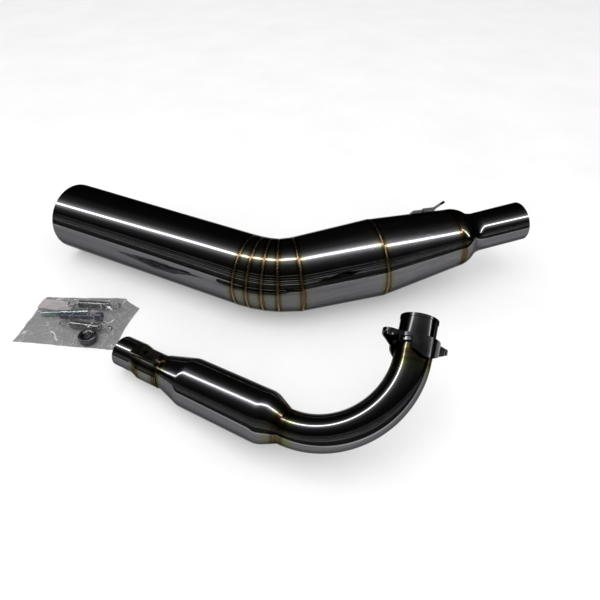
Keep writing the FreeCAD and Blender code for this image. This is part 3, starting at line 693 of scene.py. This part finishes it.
def card_mesh():
    """Folded card slip with trimmed corners and ends that stand slightly open."""
    length, width, thick = CARD_SIZE
    columns, rows = CARD_GRID
    vertices = []
    for level in (0, 1):
        for i in range(rows):
            for j in range(columns):
                u, v = j / (columns - 1) * 2 - 1, i / (rows - 1) * 2 - 1
                x, y = u * length / 2, v * width / 2
                if abs(u) > 0.9:
                    x -= math.copysign(CORNER_CUT, u) * max(abs(v) - (1 - CUT_SPAN), 0) / CUT_SPAN
                edge = CARD_ROUND if max(abs(u), abs(v)) > 0.999 else 0.0
                z = thick - edge + CARD_SPRING * u * u if level else edge
                vertices.append(Vector((x, y, z)))
    count = rows * columns
    top = grid_faces(rows, columns, start=count)
    bottom = [face[::-1] for face in grid_faces(rows, columns)]
    rim = rim_loop(rows, columns)
    sides = [[a, b, b + count, a + count] for a, b in zip(rim, rim[1:] + rim[:1])]
    return vertices, top + bottom + sides


def card_material():
    """Uncoated board, slightly stained."""
    shade = Shade("card")
    fibre = shade.noise(shade.place, 1400.0, 5.0, 0.7)
    stain = shade.noise(shade.place, 90.0, 3.0, 0.5)
    colour = shade.mix(shade.span(stain, 0.3, 0.7), (0.30, 0.265, 0.265), (0.36, 0.33, 0.33))
    return shade.finish(base=colour, rough=shade.span(fibre, 0.3, 0.7, 0.7, 0.9), metal=0.0,
                        normal=shade.bump(fibre, 0.00006, 0.7))


points, faces = card_mesh()
place = in_bag(*CARD_PLACE)
piece("card_slip", [place @ p for p in points], faces, card_material(), "fittings_bag", ["card"])


# ------------------------------------------------------------ poly bag
FILM_GRID = (190, 120)
SEAL = 0.0045                            # width of the flat welded edge
BAG_CORNERS = [Vector(c) * MM for c in ((-270.0, -31.5, 0), (-163.5, -42.5, 0), (-154.5, 14.5, 0),
                                        (-171.0, 29.5, 0), (-261.0, 32.5, 0))]
BAG_SIZE = (0.100, 0.062)                # along and across, where the film's rise is worked out
CUT_FROM = 0.84                          # share of the far edge where the torn corner starts
FILM_RISE = 0.012                        # how far in from the seal the film reaches its height
TENT_REACH = 0.011                       # how far the film slopes down from a fitting
RIM_HEIGHT = 0.25 * MM
FILM_BOTTOM = 0.1 * MM
# Folds of the upper film: height in millimetres, scale of their noise, and a shift that sets them apart.
FOLDS = ((2.2, 40.0, (3, 1, 0)), (1.3, 95.0, (0, 7, 2)), (0.5, 230.0, (0, 0, 0)))
CONTENTS = [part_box(node) for node in (*SPRING_PLACES, "spare_stud", "hanger_bolt", "spacer_collar", "card")]


def film_plan(u, v):
    """Place of a point of the bag on the floor, from shares along and across it."""
    near_left, near_right, cut_low, cut_high, far_left = BAG_CORNERS
    near_edge = near_left.lerp(near_right, u)
    if u < CUT_FROM:
        far_edge = far_left.lerp(cut_high, u / CUT_FROM)
    else:
        far_edge = cut_high.lerp(cut_low, (u - CUT_FROM) / (1 - CUT_FROM))
    point = near_edge.lerp(far_edge, v)
    rim = max(abs(2 * u - 1), abs(2 * v - 1)) ** 6
    ripple = noise.noise_vector(point * 55.0) * 1.6 * MM + noise.noise_vector(point * 190.0) * 0.5 * MM
    point += Vector((ripple.x, ripple.y, 0)) * rim
    point.x -= 2.4 * MM * math.sin(math.pi * v) * u ** 8
    return point


def ease(t):
    """Smooth step from 0 to 1."""
    t = min(max(t, 0.0), 1.0)
    return t * t * (3 - 2 * t)


def crease(point, scale):
    """Sharp folds: ridges where the noise crosses zero."""
    return (1.0 - min(abs(noise.noise(point * scale)) * 3.2, 1.0)) ** 2


def film_height(point, u, v):
    """Height of the upper film over the fittings, with its slack and creases."""
    edge = min(min(u, 1 - u) * BAG_SIZE[0], min(v, 1 - v) * BAG_SIZE[1])
    rise = ease((edge - SEAL * 0.6) / FILM_RISE)
    tent = 0.0
    for low, high in CONTENTS:
        dx = max(low.x - point.x, 0.0, point.x - high.x)
        dy = max(low.y - point.y, 0.0, point.y - high.y)
        tent = max(tent, (high.z + 0.5 * MM) * (1 - ease(math.hypot(dx, dy) / TENT_REACH)))
    slack = (2.6 + 2.2 * noise.noise(point * 42.0)) * MM
    folds = sum(height * MM * crease(point + Vector(shift), scale) for height, scale, shift in FOLDS)
    flat = 0.25 * MM + 0.25 * MM * crease(point, 150.0)
    return flat + rise * (max(tent, slack) + folds)


def bag_mesh():
    """Closed bag: lower film on the floor, upper film draped over the fittings, joined at the rim."""
    columns, rows = FILM_GRID
    lower, upper = [], []
    for i in range(rows):
        for j in range(columns):
            u, v = j / (columns - 1), i / (rows - 1)
            plan = film_plan(u, v)
            rim = i in (0, rows - 1) or j in (0, columns - 1)
            height = RIM_HEIGHT if rim else film_height(plan, u, v)
            upper.append(Vector((plan.x, plan.y, height)))
            lower.append(Vector((plan.x, plan.y, FILM_BOTTOM)))
    count = rows * columns
    top = grid_faces(rows, columns)
    bottom = [face[::-1] for face in grid_faces(rows, columns, start=count)]
    rim = rim_loop(rows, columns)
    sides = [[a + count, b + count, b, a] for a, b in zip(rim, rim[1:] + rim[:1])]
    return upper + lower, top + bottom + sides, len(top)


def film_material(name, tone, alpha, rough):
    """Clear crinkled film: creases are milky, partly crease whitening and partly painted sheen, and the
    sharpest folds carry painted white glints.
    """
    shade = Shade(name)
    haze = shade.noise(shade.place, 60.0, 4.0, 0.6)
    warp = shade.add("ShaderNodeTexNoise", {"Vector": shade.place, "Scale": 35.0}).outputs["Color"]
    bent = shade.add("ShaderNodeVectorMath", {0: shade.place, 1: shade.scaled(warp, 0.02)},
                     operation="ADD").outputs[0]
    lines = []
    for scale, width in ((75.0, 0.030), (190.0, 0.045)):
        away = shade.math("ABSOLUTE", shade.math("SUBTRACT", shade.noise(bent, scale, 1.5, 0.4), 0.5))
        lines.append(shade.span(away, 0.0, width, 1.0, 0.0))
    fold = shade.math("MAXIMUM", lines[0], shade.math("MULTIPLY", lines[1], 0.5))
    # Painted glints: white patches on the sharpest folds where the haze is high. They and the milky creases
    # also make the film less clear.
    glint = shade.math("MULTIPLY", lines[0], shade.span(haze, 0.54, 0.66))
    white = shade.math("ADD", shade.math("MULTIPLY", fold, 0.16), glint, clamp=True)
    shaded = shade.mix(shade.span(haze, 0.35, 0.65), tuple(0.8 * t for t in tone), tone)
    colour = shade.mix(white, shaded, (0.95, 0.95, 0.96))
    clear = shade.math("ADD", shade.span(haze, 0.35, 0.65, alpha - 0.04, alpha + 0.05),
                       shade.math("MULTIPLY", white, 0.75), clamp=True)
    return shade.finish(base=colour, rough=rough, metal=0.0, alpha=clear,
                        normal=shade.bump(fold, 0.0006, 0.6))


points, faces, top_count = bag_mesh()
bag = piece("bag_film", points, faces, film_material("film_upper", (0.34, 0.34, 0.345), 0.08, 0.08),
            "fittings_bag", ["poly_bag"])
bag.data.materials.append(film_material("film_lower", (0.235, 0.235, 0.24), 0.95, 0.3))
for polygon in bag.data.polygons:
    if polygon.index >= top_count:
        polygon.material_index = 1


# ------------------------------------------------------------ floor, world and lights
FLOOR_HALF = 9.0
FLOOR_DROP = 0.0002
FLOOR_GLOW = 0.42
SQUEEZE = 0.45                           # a distance along X counts this much
# Floor brightness that reflections see, by distance from the kit's middle: painted shade, dimmed near the kit
# and near black past 0.295 m, and a painted bright line at 0.25 to 0.285 m.
FLOOR_REFLECTION_PAINT = ((0.0, 0.53), (0.243, 0.53), (0.25, 1.1), (0.285, 1.1), (0.295, 0.02), (1.0, 0.015))


def floor_material():
    """Pale floor, evenly bright to the camera; reflections see it with painted shade and a painted bright
    ring.
    """
    shade = Shade("floor")
    speck = shade.noise(shade.place, 8.0, 4.0, 0.6)
    spread = shade.join(shade.math("MULTIPLY", shade.dot(shade.place, (1, 0, 0)), SQUEEZE),
                        shade.dot(shade.place, (0, 1, 0)), 0.0)
    distance = shade.add("ShaderNodeVectorMath", {0: spread}, operation="LENGTH").outputs["Value"]
    seen = shade.ramp(distance, [(reach, (bright,) * 3) for reach, bright in FLOOR_REFLECTION_PAINT])
    pale = shade.mix(shade.span(speck, 0.3, 0.7), (0.6, 0.6, 0.6), (0.63, 0.63, 0.63))
    # Glossy rays see the floor with that painted shade and line; the glow carries them too.
    glossy = shade.add("ShaderNodeLightPath").outputs["Is Glossy Ray"]
    colour = shade.mix(glossy, pale, shade.mix(1.0, pale, seen))
    return shade.finish(base=colour, rough=0.6, metal=0.0, glow=colour, glow_power=FLOOR_GLOW)


floor_mesh = bpy.data.meshes.new("floor")
floor_corners = [(x * FLOOR_HALF, y * FLOOR_HALF, 0) for x, y in ((-1, -1), (1, -1), (1, 1), (-1, 1))]
floor_mesh.from_pydata(floor_corners, [], [(0, 1, 2, 3)])
floor_mesh.materials.append(floor_material())
floor = bpy.data.objects.new("floor", floor_mesh)
floor.location.z = -FLOOR_DROP
bpy.context.scene.collection.objects.link(floor)

STRIP_HEADING = -10.8                    # long lamp's direction, degrees from +X seen from above
ROOM_DARK = 0.012
WALL = (7.0, 0.07)                       # low wall on the camera's side: its top in degrees, brightness
# Thin bright lines above it: height in degrees, brightness.
ROOM_LINES = ((11.5, 3.2), (17.0, 1.3), (23.0, 2.2), (30.0, 1.1), (38.0, 1.0))
LINE_HALF = 0.6                          # half of a line's width, in degrees


def room_world():
    """White surroundings, which reflections see as a dark room with a low wall and thin bright lines."""
    world = bpy.data.worlds.new("room")
    bpy.context.scene.world = world
    world.use_nodes = True
    tree = world.node_tree

    def node(kind, links=None, **settings):
        made = tree.nodes.new(kind)
        for key, value in settings.items():
            setattr(made, key, value)
        for key, source in (links or {}).items():
            tree.links.new(source, made.inputs[key])
        return made

    heading = math.radians(STRIP_HEADING)
    direction = node("ShaderNodeTexCoord").outputs["Generated"]
    sides = []
    for vector in ((math.sin(heading), -math.cos(heading), 0.0), (0.0, 0.0, 1.0)):
        dot = node("ShaderNodeVectorMath", {0: direction}, operation="DOT_PRODUCT")
        dot.inputs[1].default_value = vector
        sides.append(dot.outputs["Value"])
    angle = node("ShaderNodeMath", {0: sides[1], 1: sides[0]}, operation="ARCTAN2").outputs[0]
    share = node("ShaderNodeMath", {0: angle}, operation="DIVIDE")
    share.inputs[1].default_value = math.pi / 2
    stops = [(0.0, WALL[1]), (WALL[0], WALL[1]), (WALL[0] + 1.0, ROOM_DARK)]
    for rise, bright in ROOM_LINES:
        stops += [(rise - LINE_HALF, ROOM_DARK), (rise, bright), (rise + LINE_HALF, ROOM_DARK)]
    band = node("ShaderNodeValToRGB", {0: share.outputs[0]})
    elements = band.color_ramp.elements
    while len(elements) < len(stops):
        elements.new(1.0)
    for element, (rise, bright) in zip(elements, stops):
        element.position = rise / 90.0
        element.color = (bright, bright, bright, 1.0)
    glossy = node("ShaderNodeLightPath").outputs["Is Glossy Ray"]
    blend = node("ShaderNodeMix", {0: glossy}, data_type="RGBA")
    blend.inputs[6].default_value = (1.0, 1.0, 1.0, 1.0)
    tree.links.new(band.outputs["Color"], blend.inputs[7])
    tree.links.new(blend.outputs[2], tree.nodes["Background"].inputs["Color"])


room_world()


def area_light(name, place, target, size, power, glossy, diffuse):
    """Rectangular light aimed at a point, seen by glossy or diffuse rays or both."""
    data = bpy.data.lights.new(name, "AREA")
    data.shape = "RECTANGLE"
    data.size, data.size_y = size
    data.energy = power
    lamp = bpy.data.objects.new(name, data)
    lamp.location = place
    lamp.rotation_euler = (Vector(target) - Vector(place)).to_track_quat("-Z", "Y").to_euler()
    lamp.visible_glossy = glossy
    lamp.visible_diffuse = diffuse
    lamp.visible_camera = False
    bpy.context.scene.collection.objects.link(lamp)
    return lamp


STRIP_PLACE = (-0.2, 0.03, 0.56)
STRIP_SIZE = (3.8, 1.3)
STRIP_AXIS = 1                           # which way across the lamp is its short side
STRIP_POWER = 230.0
STRIP_FADES = ((0.023, 1.0), (0.095, 0.10), (0.24, 0.012))      # half width in metres, share of power


def strip_light():
    below = Vector(STRIP_PLACE) - Vector((0, 0, 1))
    lamp = area_light("strip", STRIP_PLACE, below, STRIP_SIZE, STRIP_POWER, True, False)
    lamp.rotation_euler = (0.0, 0.0, math.radians(STRIP_HEADING))
    lamp.data.use_nodes = True
    tree = lamp.data.node_tree

    def step(operation, a, b=0.0):
        node = tree.nodes.new("ShaderNodeMath")
        node.operation = operation
        for socket, value in zip(node.inputs, (a, b)):
            if isinstance(value, float):
                socket.default_value = value
            else:
                tree.links.new(value, socket)
        return node.outputs[0]

    split = tree.nodes.new("ShaderNodeSeparateXYZ")
    tree.links.new(tree.nodes.new("ShaderNodeNewGeometry").outputs["Parametric"], split.inputs[0])
    across = step("MULTIPLY", step("SUBTRACT", split.outputs[STRIP_AXIS], 0.5), STRIP_SIZE[1])
    fades = []
    for half_width, share in STRIP_FADES:
        ratio = step("DIVIDE", across, half_width)
        fade = step("EXPONENT", step("MULTIPLY", step("MULTIPLY", ratio, ratio), -1.0))
        fades.append(step("MULTIPLY", fade, share))
    total = step("ADD", step("ADD", fades[0], fades[1]), fades[2])
    tree.links.new(total, tree.nodes["Emission"].inputs["Strength"])


area_light("soft_overhead", (-0.3, -0.4, 2.2), (0, 0, 0), (2.6, 2.0), 22.0, False, True)
strip_light()
